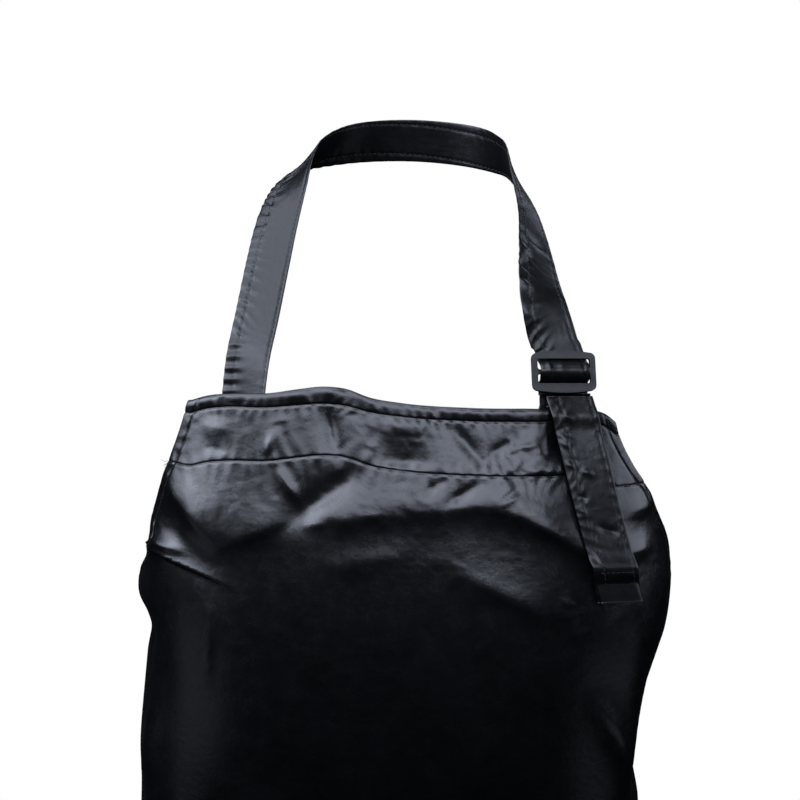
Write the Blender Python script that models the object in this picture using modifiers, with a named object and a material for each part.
"""Artist's bib apron in coated black nylon, in the shape it takes on a wearer, at real size.

Metres, +Z up. The wearer faces -Y, so the wearer's left is +X. The origin is the middle of the
neck strap at the nape, the place the whole apron hangs from. Left and right are the wearer's.
"""

import math

import bmesh
import bpy
import numpy as np
from mathutils import Matrix, Vector

# Driving dimensions
APRON_LENGTH = 0.740  # bib edge to bottom edge
PANEL_WIDTH = 0.610  # measured flat, below the armholes
BIB_TOP = -0.133  # height of the bib's upper edge, below the nape
WAIST = -0.405  # height of the waist ties
CLOTH = 0.0008  # panel and hem layers
STRAP_WIDTH = 0.0254
STRAP_CLOTH = 0.0010  # a strap is a folded tape, sewn flat
TAIL_WIDE = STRAP_WIDTH * 1.03  # measured level, because the tail hangs at a slant
TOP_HEM = 0.037
SIDE_HEM = 0.008
BOTTOM_HEM = 0.020
LAYER_GAP = 0.0005  # air left between two cloth layers
TAPE_ROOM = 0.0016  # a tape lies flat behind the curved hem, so its middle stands off by this
SIDE_LINE_Y = -0.080  # where the torso is widest, seen from above
BACK_DEPTH = 0.85  # depth of the back half of a section, against the front half
SECTION_POWER = 2.8  # 2 would be an ellipse; the bib lies flatter across the chest

BIB_BOTTOM = BIB_TOP - APRON_LENGTH
LAYER = CLOTH + LAYER_GAP

# Torso sections under the cloth: height, half width, front y, sideways shift of the cloth
TORSO = (
    (BIB_TOP + 0.020, 0.148, -0.150, 0.000),
    (BIB_TOP, 0.150, -0.157, 0.000),
    (-0.185, 0.152, -0.174, 0.003),
    (-0.245, 0.157, -0.186, 0.006),
    (-0.310, 0.154, -0.187, 0.005),
    (-0.380, 0.149, -0.180, 0.002),
    (WAIST, 0.146, -0.176, 0.001),
    (-0.480, 0.156, -0.183, 0.000),
    (-0.620, 0.168, -0.192, 0.000),
    (BIB_BOTTOM - 0.010, 0.176, -0.200, 0.000),
)
# Half width of the flat panel against height: the armhole curve, then straight sides
PANEL_EDGE = (
    (BIB_TOP, 0.1235),
    (-0.150, 0.1290),
    (-0.166, 0.1365),
    (-0.183, 0.1490),
    (-0.200, 0.1640),
    (-0.225, 0.1900),
    (-0.280, 0.2400),
    (-0.340, 0.2830),
    (-0.385, PANEL_WIDTH / 2),
    (BIB_BOTTOM, PANEL_WIDTH / 2),
)
CORNER_DROP = 0.005  # the bib's corners hang a little lower than its middle

# Slider buckle, a moulded tri-glide for 1 inch tape
BUCKLE_AT = Vector((0.091, -0.1475, -0.1126))
BUCKLE_YAW = math.radians(14)
BUCKLE_LEAN = math.radians(20)
BUCKLE_SIZE = (0.0375, 0.0220, 0.0024)
BUCKLE_SIDE = 0.0033
BUCKLE_TOP_BAR = 0.0034
BUCKLE_LOW_BAR = 0.0044
BUCKLE_BOW = 0.0012  # the long edges bow outward
CENTRE_BAR = 0.0026
BUCKLE_ROUND = 0.0004

# Neck strap above the bib: its centre line and the way its outer face looks
STRAP_BASE = (-0.0912, 0.033)  # place across the bib, and how far it runs down behind the hem
STRAP_ROUTE = (
    ((-0.0885, -0.1385, -0.114), (-0.15, -0.90, 0.40)),
    ((-0.0848, -0.1245, -0.092), (-0.08, -0.83, 0.55)),
    ((-0.0805, -0.1045, -0.0645), (-0.08, -0.76, 0.64)),
    ((-0.0766, -0.0860, -0.0425), (-0.20, -0.68, 0.70)),
    ((-0.0715, -0.0670, -0.0250), (-0.45, -0.50, 0.73)),
    ((-0.0660, -0.0490, -0.0140), (-0.70, -0.15, 0.65)),
    ((-0.0560, -0.0280, -0.0070), (-0.80, 0.30, 0.45)),
    ((-0.0330, -0.0080, -0.0020), (-0.50, 0.85, 0.20)),
    ((0.0000, 0.0000, 0.0000), (0.00, 1.00, 0.05)),
    ((0.0330, -0.0080, -0.0010), (0.50, 0.86, 0.05)),
    ((0.0530, -0.0300, -0.0040), (0.95, -0.10, 0.10)),
    ((0.0600, -0.0560, -0.0100), (0.93, -0.34, 0.12)),
    ((0.0655, -0.0740, -0.0200), (0.88, -0.44, 0.20)),
    ((0.0705, -0.0930, -0.0350), (0.79, -0.48, 0.38)),
    ((0.0740, -0.1110, -0.0520), (0.62, -0.62, 0.48)),
    ((0.0795, -0.1290, -0.0730), (0.38, -0.75, 0.54)),
)

# The strap threaded through the buckle, as (out, up) pairs measured from the centre bar
STRAP_ABOVE = ((-0.0046, 0.0200), (-0.0036, 0.0150))
STRAP_WRAP = (
    (-0.0032, 0.0140),
    (-0.0028, 0.0098),
    (-0.0018, 0.0066),
    (0.0014, 0.0046),
    (0.0036, 0.0024),
    (0.0040, -0.0002),
    (0.0030, -0.0030),
    (0.0008, -0.0049),
    (-0.0014, -0.0054),
    (-0.0031, -0.0072),
    (-0.0034, -0.0100),
    (-0.0034, -0.0128),
)
TAIL_AXIS = (-0.0034, -0.0136)
STRAP_EXIT = ((-0.0034, -0.0142), (-0.0034, -0.0160), (-0.0034, -0.0182))
# The tab: up behind the buckle's lower bar, round the centre bar and back down behind the hem
TAB_BASE = (0.0900, 0.033)
TAB_LOOP = (
    (-0.0076, -0.0180),
    (-0.0066, -0.0135),
    (-0.0053, -0.0095),
    (-0.0044, -0.0066),
    (-0.0024, -0.0041),
    (0.0012, -0.0027),
    (0.0023, 0.0000),
    (0.0016, 0.0024),
    (-0.0002, 0.0032),
    (-0.0022, 0.0019),
    (-0.0042, -0.0012),
    (-0.0059, -0.0050),
    (-0.0070, -0.0095),
    (-0.0084, -0.0142),
    (-0.0093, -0.0180),
)
TAB_CLOTH = 0.0008
TAB_SPACE = 0.0006  # between the tab's two layers

# Strap tail, hanging below the buckle over the front of the bib
TAIL_START = (-0.0034, -0.0190)
TAIL_END = (0.1250, -0.2420)  # sideways place and height of its lower end
TAIL_END_YAW = math.radians(21)
TAIL_LIFT = (0.0024, 0.0052)  # its middle stands off the bib by this, at the top and at the end
TAIL_FOLD = 0.013  # the end is turned under and sewn

# Waist ties and the bow at the back
TIE_OVERLAP = 0.024  # sewn length on the panel's corner
TIE_AT_KNOT = 0.0040  # how far the ties have risen off the back where they meet the knot
KNOT_SIZE = Vector((0.024, 0.016, 0.030))
KNOT_OUT = 0.0105  # knot centre, behind the back line
BOW_REACH = 0.090
BOW_DROOP = math.radians(24)
BOW_DEPTH = 0.010
TIE_END_LENGTH = 0.285
PINCHED = 0.011  # width of a tape where the knot gathers it
PINCH_LENGTH = 0.040

# Bar tacks, the dense thread bars that hold the tapes
TACK_SIZE = (0.021, 0.0016, 0.0006)
TACK_ROUND = 0.0002
TACK_DEPTH = 0.027

BLACK = (0.012, 0.013, 0.015)
STRAP_BLACK = (0.018, 0.020, 0.023)
PLASTIC_BLACK = (0.030, 0.031, 0.033)
THREAD_BLACK = (0.010, 0.010, 0.011)


def smooth(table, column, at):
    """A column of a table against its first column, as a smooth curve through its rows."""
    rows = sorted(table)
    xs = np.array([row[0] for row in rows])
    ys = np.array([row[column] for row in rows])
    slopes = np.gradient(ys, xs)
    at = min(max(at, xs[0]), xs[-1])
    i = min(int(np.searchsorted(xs, at, side="right")) - 1, len(xs) - 2)
    span = xs[i + 1] - xs[i]
    k = (at - xs[i]) / span
    start = (1 + 2 * k) * (1 - k) ** 2 * ys[i] + k * (1 - k) ** 2 * span * slopes[i]
    end = k * k * (3 - 2 * k) * ys[i + 1] - k * k * (1 - k) * span * slopes[i + 1]
    return float(start + end)


class Section:
    """The torso's outline at one height, walked by arc length from the front centre."""

    def __init__(self, height):
        self.height = height
        half_width = smooth(TORSO, 1, height)
        depth = SIDE_LINE_Y - smooth(TORSO, 2, height)
        angles = np.linspace(0, math.pi, 361)
        power = 2 / SECTION_POWER
        across = np.sign(np.sin(angles)) * np.abs(np.sin(angles)) ** power
        along = np.sign(np.cos(angles)) * np.abs(np.cos(angles)) ** power
        self.x = half_width * across
        self.y = SIDE_LINE_Y - depth * np.where(along > 0, along, along * BACK_DEPTH)
        self.shift = smooth(TORSO, 3, height)
        steps = np.hypot(np.diff(self.x), np.diff(self.y))
        self.arc = np.concatenate([[0], np.cumsum(steps)])

    def half_girth(self):
        return float(self.arc[-1])

    def arc_at(self, x):
        """The signed arc length of the front's point at a sideways place."""
        front = len(self.x) // 2
        arc = np.interp(abs(x - self.shift), self.x[:front], self.arc[:front])
        return math.copysign(float(arc), x)

    def point(self, arc, lift=0.0):
        """The point at a signed arc length, raised outward from the outline by lift."""
        side = -1 if arc < 0 else 1
        nearby = (abs(arc) - 0.002, abs(arc), abs(arc) + 0.002)
        x0, x, x1 = np.interp(nearby, self.arc, self.x)
        y0, y, y1 = np.interp(nearby, self.arc, self.y)
        out = Vector((y1 - y0, x0 - x1, 0)).normalized()
        return Vector((side * (x + out.x * lift) + self.shift, y + out.y * lift, self.height))


def material(name, colour, roughness):
    made = bpy.data.materials.new(name)
    made.use_nodes = True
    shader = made.node_tree.nodes["Principled BSDF"]
    shader.inputs["Base Color"].default_value = (*colour, 1)
    shader.inputs["Roughness"].default_value = roughness
    shader.inputs["Metallic"].default_value = 0.0
    return made


def keep(obj, look, parent=None):
    """Puts a finished object in the apron's collection, under its joint's empty if it has one."""
    for collection in list(obj.users_collection):
        collection.objects.unlink(obj)
    APRON.objects.link(obj)
    obj.data.materials.clear()
    obj.data.materials.append(look)
    if parent:
        bpy.context.view_layer.update()
        obj.parent = parent
        obj.matrix_parent_inverse = parent.matrix_world.inverted()
    return obj


def sheet(name, rows, thickness, look, offset=-1.0, parent=None):
    """A cloth piece: an open grid of points, rows from top to bottom, given its thickness."""
    mesh = bpy.data.meshes.new(name)
    work = bmesh.new()
    grid = [[work.verts.new(point) for point in row] for row in rows]
    for upper, lower in zip(grid, grid[1:]):
        for j in range(len(upper) - 1):
            work.faces.new((upper[j], lower[j], lower[j + 1], upper[j + 1]))
    work.to_mesh(mesh)
    work.free()
    mesh.shade_smooth()
    obj = bpy.data.objects.new(name, mesh)
    shell = obj.modifiers.new("cloth", "SOLIDIFY")
    shell.thickness = thickness
    shell.offset = offset
    shell.use_even_offset = True
    return keep(obj, look, parent)


def ribbon(name, centres, faces, width, thickness, look, last_across=None):
    """A flat tape along centres; faces are the directions its outer side looks. last_across is
    the direction its width takes at the end, where a buckle's bar squares it."""
    rows = []
    for i, (centre, face) in enumerate(zip(centres, faces)):
        before = centres[max(i - 1, 0)]
        after = centres[min(i + 1, len(centres) - 1)]
        along = (after - before).normalized()
        across = along.cross(face).normalized()
        if last_across:
            square = max(0.0, 1 - (centre - centres[-1]).length / width)
            across = across.lerp(last_across, square).normalized()
        half = across * (width / 2)
        rows.append((centre - half, centre, centre + half))
    return sheet(name, rows, thickness, look, offset=0.0)


def through(points, per_span):
    """A smooth curve through hand-placed points, with per_span steps between two of them."""
    points = [Vector(point) for point in points]
    ends = [2 * points[0] - points[1]] + points + [2 * points[-1] - points[-2]]
    curve = []
    for a, b, c, d in zip(ends, ends[1:], ends[2:], ends[3:]):
        for step in range(per_span):
            k = step / per_span
            curve.append(
                0.5 * ((2 * b) + (c - a) * k + (2 * a - 5 * b + 4 * c - d) * k * k
                       + (3 * b - a - 3 * c + d) * k ** 3)
            )
    return curve + [points[-1]]


def rounded_box(name, size, matrix, radius, look, parent=None):
    bpy.ops.mesh.primitive_cube_add(size=1)
    obj = bpy.context.object
    obj.name = name
    obj.data.transform(Matrix.Diagonal((*size, 1)))
    obj.matrix_world = matrix
    edge = obj.modifiers.new("edge", "BEVEL")
    edge.width = radius
    edge.segments = 3
    obj.data.shade_smooth()
    return keep(obj, look, parent)


def pivot(name, at):
    """An empty on a joint's axis, for the pieces that turn or slide there."""
    empty = bpy.data.objects.new(name, None)
    empty.empty_display_size = 0.01
    empty.location = at
    APRON.objects.link(empty)
    bpy.context.view_layer.update()
    return empty


# ---- front panel and its hems

def panel_rows():
    """Heights of the panel's grid rows; the hems take the first and the last span."""
    between = np.linspace(BIB_TOP - TOP_HEM, BIB_BOTTOM + BOTTOM_HEM, 25)
    return [BIB_TOP, *between, BIB_BOTTOM]


def panel_columns(height):
    """Signed arc lengths of the grid's columns; the side hems take the outermost spans."""
    edge = smooth(PANEL_EDGE, 1, height)
    inner = np.linspace(SIDE_HEM - edge, edge - SIDE_HEM, 23)
    return [-edge, *inner, edge]


def panel_grid(lift):
    """Rows of points on the worn panel, each row sagging towards the bib's corners."""
    rows = []
    for height in panel_rows():
        edge = smooth(PANEL_EDGE, 1, height)
        level = max(0.0, 1 - (BIB_TOP - height) / 0.2)
        row = []
        for arc in panel_columns(height):
            drop = CORNER_DROP * level * (arc / edge) ** 2
            row.append(Section(height - drop).point(arc, lift))
        rows.append(row)
    return rows


def trimmed(line, start, end):
    """A line of points with its first and last one moved inward by a distance."""
    line = list(line)
    line[0] = line[0] + (line[1] - line[0]).normalized() * start
    line[-1] = line[-1] + (line[-2] - line[-1]).normalized() * end
    return line


def turned(rows):
    return [list(column) for column in zip(*rows)]


def make_panel():
    cloth = material("coated_nylon", BLACK, 0.32)
    sheet("front_panel", panel_grid(0.0), CLOTH, cloth)
    inner = panel_grid(-LAYER)
    armhole_end = min(i for i, height in enumerate(panel_rows()) if height < WAIST + 0.012)
    last = len(inner) - 2
    top = [trimmed(row, 0.0004, 0.0004) for row in inner[:2]]
    sheet("top_hem", top, CLOTH, cloth)
    bottom = [trimmed(row, 0.0004, 0.0004) for row in inner[last:]]
    sheet("bottom_hem", bottom, CLOTH, cloth)
    for side, columns in (("right", slice(0, 2)), ("left", slice(-2, None))):
        strips = {
            f"armhole_hem_{side}": inner[1:armhole_end + 1],
            f"side_hem_{side}": inner[armhole_end:last + 1],
        }
        for name, rows in strips.items():
            lines = [trimmed(line, 0.0004, 0.0004) for line in turned(row[columns] for row in rows)]
            sheet(name, turned(lines), CLOTH, cloth)


# ---- neck strap, tab and slider buckle

BUCKLE_FRAME = (
    Matrix.Translation(BUCKLE_AT)
    @ Matrix.Rotation(BUCKLE_YAW, 4, "Z")
    @ Matrix.Rotation(-BUCKLE_LEAN, 4, "X")
)


def on_buckle(across, out, up):
    """A point given along the buckle's bars, outward from its face and up its face."""
    return BUCKLE_FRAME @ Vector((across, -out, up))


def threaded(name, path, thickness, look, parent=None):
    """A tape bent round the buckle's bars, its width along them."""
    across = on_buckle(STRAP_WIDTH / 2, 0, 0) - on_buckle(0, 0, 0)
    rows = [(centre - across, centre + across) for centre in through(path, 3)]
    return sheet(name, rows, thickness, look, offset=0.0, parent=parent)


def outline(curve, points):
    spline = curve.splines.new("POLY")
    spline.points.add(len(points) - 1)
    for target, (x, y) in zip(spline.points, points):
        target.co = (x, y, 0, 1)
    spline.use_cyclic_u = True


def bowed_frame(half_width, low, high, bow, radius):
    """A rectangle with round corners whose long edges bow outward by bow."""
    points = []
    corners = ((1, high, 0), (-1, high, 90), (-1, low, 180), (1, low, 270))
    for side, edge, start in corners:
        up = 1 if edge == high else -1
        centre = (side * (half_width - radius), edge - up * radius)
        for step in range(5):
            angle = math.radians(start + 22.5 * step)
            points.append((centre[0] + radius * math.cos(angle), centre[1] + radius * math.sin(angle)))
        if start in (0, 180):
            for k in (0.66, 0.33, 0.0, -0.33, -0.66):
                x = k * (half_width - radius) * (1 if start == 0 else -1)
                points.append((x, edge + up * bow * (1 - k * k)))
    return points


def make_buckle(parent):
    half_width, half_height = BUCKLE_SIZE[0] / 2, BUCKLE_SIZE[1] / 2
    window = half_width - BUCKLE_SIDE
    curve = bpy.data.curves.new("slider_buckle", "CURVE")
    curve.dimensions = "2D"
    curve.fill_mode = "BOTH"
    curve.extrude = BUCKLE_SIZE[2] / 2
    outline(curve, bowed_frame(half_width, -half_height, half_height, BUCKLE_BOW, 0.0034))
    slots = (
        (CENTRE_BAR / 2, half_height - BUCKLE_TOP_BAR),
        (BUCKLE_LOW_BAR - half_height, -CENTRE_BAR / 2),
    )
    for low, high in slots:
        outline(curve, bowed_frame(window, low, high, 0, 0.0014)[::-1])
    flat = bpy.data.objects.new("buckle_outline", curve)
    APRON.objects.link(flat)
    bpy.context.view_layer.update()
    graph = bpy.context.evaluated_depsgraph_get()
    mesh = bpy.data.meshes.new_from_object(flat.evaluated_get(graph))
    bpy.data.objects.remove(flat)
    work = bmesh.new()
    work.from_mesh(mesh)
    bmesh.ops.remove_doubles(work, verts=work.verts, dist=1e-6)
    bmesh.ops.recalc_face_normals(work, faces=work.faces)
    work.to_mesh(mesh)
    work.free()
    mesh.transform(Matrix.Rotation(math.radians(90), 4, "X"))
    mesh.shade_smooth()
    mesh.set_sharp_from_angle(angle=math.radians(40))
    obj = bpy.data.objects.new("slider_buckle", mesh)
    obj.matrix_world = BUCKLE_FRAME
    APRON.objects.link(obj)
    edge = obj.modifiers.new("edge", "BEVEL")
    edge.width = BUCKLE_ROUND
    edge.segments = 2
    edge.limit_method = "ANGLE"
    edge.angle_limit = math.radians(60)
    return keep(obj, material("moulded_plastic", PLASTIC_BLACK, 0.45), parent)


def behind_hem(x, depth, lift):
    """A point inside the bib, depth below its edge, and the way the cloth faces there."""
    section = Section(BIB_TOP - CORNER_DROP / 2 - depth)
    arc = section.arc_at(x)
    place = section.point(arc, lift)
    return place, (section.point(arc, 0.01) - place).normalized()


def make_neck_strap(tape):
    lift = -(2 * LAYER + TAPE_ROOM + STRAP_CLOTH / 2)
    x, depth = STRAP_BASE
    base = [behind_hem(x, depth * k, lift) for k in (1.0, 0.5, 0.05)]
    facing = BUCKLE_FRAME.to_3x3() @ Vector((0, -1, 0))
    route = base + [(Vector(at), Vector(face)) for at, face in STRAP_ROUTE]
    route += [(on_buckle(0, out, up), facing) for out, up in STRAP_ABOVE]
    centres = through([at for at, _ in route], 4)
    faces = through([face for _, face in route], 4)
    bar = BUCKLE_FRAME.to_3x3() @ Vector((-1, 0, 0))
    ribbon("neck_strap", centres, faces, STRAP_WIDTH, STRAP_CLOTH, tape, last_across=bar)


def make_tab(tape):
    x, depth = TAB_BASE
    front = -(2 * LAYER + TAPE_ROOM + TAB_CLOTH / 2)
    back = front - TAB_CLOTH - TAB_SPACE
    depths = [depth * k for k in (1.0, 0.55, 0.1)]
    path = [behind_hem(x, down, front)[0] for down in depths]
    path += [on_buckle(0, *at) for at in TAB_LOOP]
    path += [behind_hem(x, down, back)[0] for down in reversed(depths)]
    threaded("buckle_tab", path, TAB_CLOTH, tape)


def tail_rows():
    """The tail's rows of points: it lies on the bib, its short edges level with the buckle's bars."""
    start = on_buckle(0, *TAIL_START)
    rows = []
    for step in range(13):
        k = step / 12
        x = start.x + (TAIL_END[0] - start.x) * k
        section = Section(start.z + (TAIL_END[1] - start.z) * k)
        lift = TAIL_LIFT[0] + (TAIL_LIFT[1] - TAIL_LIFT[0]) * k
        resting = section.point(section.arc_at(x), lift)
        centre = start.lerp(resting, min(1, 4 * k))
        yaw = BUCKLE_YAW + (TAIL_END_YAW - BUCKLE_YAW) * k
        half = Vector((math.cos(yaw), math.sin(yaw), 0)) * (TAIL_WIDE / 2)
        rows.append((centre - half, centre, centre + half))
    return rows


def make_tail(tape, parent):
    rows = tail_rows()
    sheet("strap_tail", rows, STRAP_CLOTH, tape, offset=0.0, parent=parent)
    face = Vector((math.sin(TAIL_END_YAW), -math.cos(TAIL_END_YAW), 0))
    under = face * (STRAP_CLOTH + LAYER_GAP)
    back = (rows[-2][0] - rows[-1][0]).normalized() * TAIL_FOLD
    fold = [[point + back * k - under for point in rows[-1]] for k in (1, 0.5, 0)]
    sheet("tail_end_fold", fold, STRAP_CLOTH, tape, offset=0.0, parent=parent)


def make_straps(tape):
    make_neck_strap(tape)
    make_tab(tape)
    tilt = pivot("buckle_axis", BUCKLE_AT)
    make_buckle(tilt)
    threaded("strap_wrap", [on_buckle(0, *at) for at in STRAP_WRAP], STRAP_CLOTH, tape, tilt)
    swing = pivot("tail_axis", on_buckle(0, *TAIL_AXIS))
    threaded("strap_exit", [on_buckle(0, *at) for at in STRAP_EXIT], STRAP_CLOTH, tape, swing)
    slide = pivot("tail_slide", on_buckle(0, *TAIL_START))
    make_tail(tape, slide)


# ---- waist ties and bow

def tape_width(distance):
    """A tape's width at a distance from the knot that gathers it."""
    k = min(distance / PINCH_LENGTH, 1)
    return PINCHED + (STRAP_WIDTH - PINCHED) * k * k * (3 - 2 * k)


def gathered(name, centres, across, look, parent):
    """A tape that starts narrow at the knot; across is its width's direction."""
    rows = []
    start = centres[0]
    for centre in centres:
        half = across * (tape_width((centre - start).length) / 2)
        rows.append((centre - half, centre, centre + half))
    return sheet(name, rows, STRAP_CLOTH, look, offset=0.0, parent=parent)


def make_tie(side, name, tape):
    section = Section(WAIST)
    edge = smooth(PANEL_EDGE, 1, WAIST)
    sewn = -(2 * LAYER + STRAP_CLOTH / 2)
    end = section.half_girth() - KNOT_SIZE.x / 2 - LAYER_GAP
    arcs = [*np.linspace(edge - TIE_OVERLAP, edge, 4), *np.linspace(edge, end, 8)[1:]]
    centres, faces = [], []
    for arc in arcs:
        rise = max(0.0, (arc - edge) / (end - edge))
        lift = sewn + (TIE_AT_KNOT - sewn) * rise * rise * (3 - 2 * rise)
        centres.append(section.point(side * arc, lift))
        faces.append((section.point(side * arc, lift + 0.01) - centres[-1]).normalized())
    ribbon(f"waist_tie_{name}", centres, faces, STRAP_WIDTH, STRAP_CLOTH, tape)


def make_bow(tape):
    back = Section(WAIST)
    knot_at = back.point(back.half_girth() - 1e-6, KNOT_OUT)
    knot_at.x = back.shift
    rounded_box("bow_knot", KNOT_SIZE, Matrix.Translation(knot_at), 0.0055, tape)
    for side, name in ((-1, "right"), (1, "left")):
        make_tie(side, name, tape)
        reach = Vector((side * math.cos(BOW_DROOP), 0, -math.sin(BOW_DROOP)))
        across = reach.cross(Vector((0, 1, 0)))
        start = knot_at + Vector((side * (KNOT_SIZE.x / 2 + 0.0035), 0, 0))
        loop = []
        for step in range(25):
            turn = math.radians(20 + 320 * step / 24)
            out = (1 - math.cos(turn)) / 2
            bulge = math.sin(turn) * math.sin(turn / 2) ** 0.6
            loop.append(start + reach * (BOW_REACH * out) + Vector((0, BOW_DEPTH * bulge, 0)))
        hinge = pivot(f"bow_loop_axis_{name}", start)
        gathered_loop(f"bow_loop_{name}", loop, across, reach, start, tape, hinge)
        below = knot_at + Vector((side * 0.0075, 0, -KNOT_SIZE.z / 2 - 0.0008))
        swing = pivot(f"tie_end_axis_{name}", below)
        hang = []
        for step in range(13):
            k = step / 12
            spread = 0.018 * min(k * 4, 1) + 0.012 * k
            hang.append(below + Vector((side * spread, 0, -TIE_END_LENGTH * k)))
        gathered(f"tie_end_{name}", hang, Vector((1, 0, 0)), tape, swing)


def gathered_loop(name, loop, across, reach, start, look, parent):
    rows = []
    for centre in loop:
        half = across * (tape_width((centre - start).dot(reach)) / 2)
        rows.append((centre - half, centre, centre + half))
    return sheet(name, rows, STRAP_CLOTH, look, offset=0.0, parent=parent)


# ---- bar tacks

def bar_tack(name, at, face, along, look):
    """A thread bar on the inner side of a tape: face looks out of the cloth, along is its length."""
    along = along.normalized()
    across = face.cross(along).normalized()
    turn = Matrix((along, across, face)).transposed().to_4x4()
    rounded_box(name, TACK_SIZE, Matrix.Translation(at) @ turn, TACK_ROUND, look)


def make_tacks():
    thread = material("thread", THREAD_BLACK, 0.80)
    level = Vector((math.cos(BUCKLE_YAW), math.sin(BUCKLE_YAW), 0))
    under = TACK_SIZE[2] / 2 + 2 * LAYER_GAP
    strap = 2 * LAYER + TAPE_ROOM + STRAP_CLOTH + under
    tab = 2 * LAYER + TAPE_ROOM + TAB_SPACE + 2 * TAB_CLOTH + under
    at, face = behind_hem(STRAP_BASE[0], TACK_DEPTH, -strap)
    bar_tack("neck_strap_tack", at, face, level.reflect(Vector((0, 1, 0))), thread)
    at, face = behind_hem(TAB_BASE[0], TACK_DEPTH, -tab)
    bar_tack("buckle_tab_tack", at, face, level, thread)
    section = Section(WAIST)
    arc = smooth(PANEL_EDGE, 1, WAIST) - TIE_OVERLAP + TACK_SIZE[1] * 2
    for side, name in ((-1, "right"), (1, "left")):
        at = section.point(side * arc, -strap)
        face = (section.point(side * arc, 0.01) - at).normalized()
        bar_tack(f"waist_tie_tack_{name}", at, face, Vector((0, 0, 1)), thread)


def clear_scene():
    for obj in list(bpy.data.objects):
        bpy.data.objects.remove(obj)


clear_scene()
APRON = bpy.data.collections.new("artist_apron")
bpy.context.scene.collection.children.link(APRON)
TAPE = material("strap_tape", STRAP_BLACK, 0.30)
make_panel()
make_straps(TAPE)
make_bow(TAPE)
make_tacks()
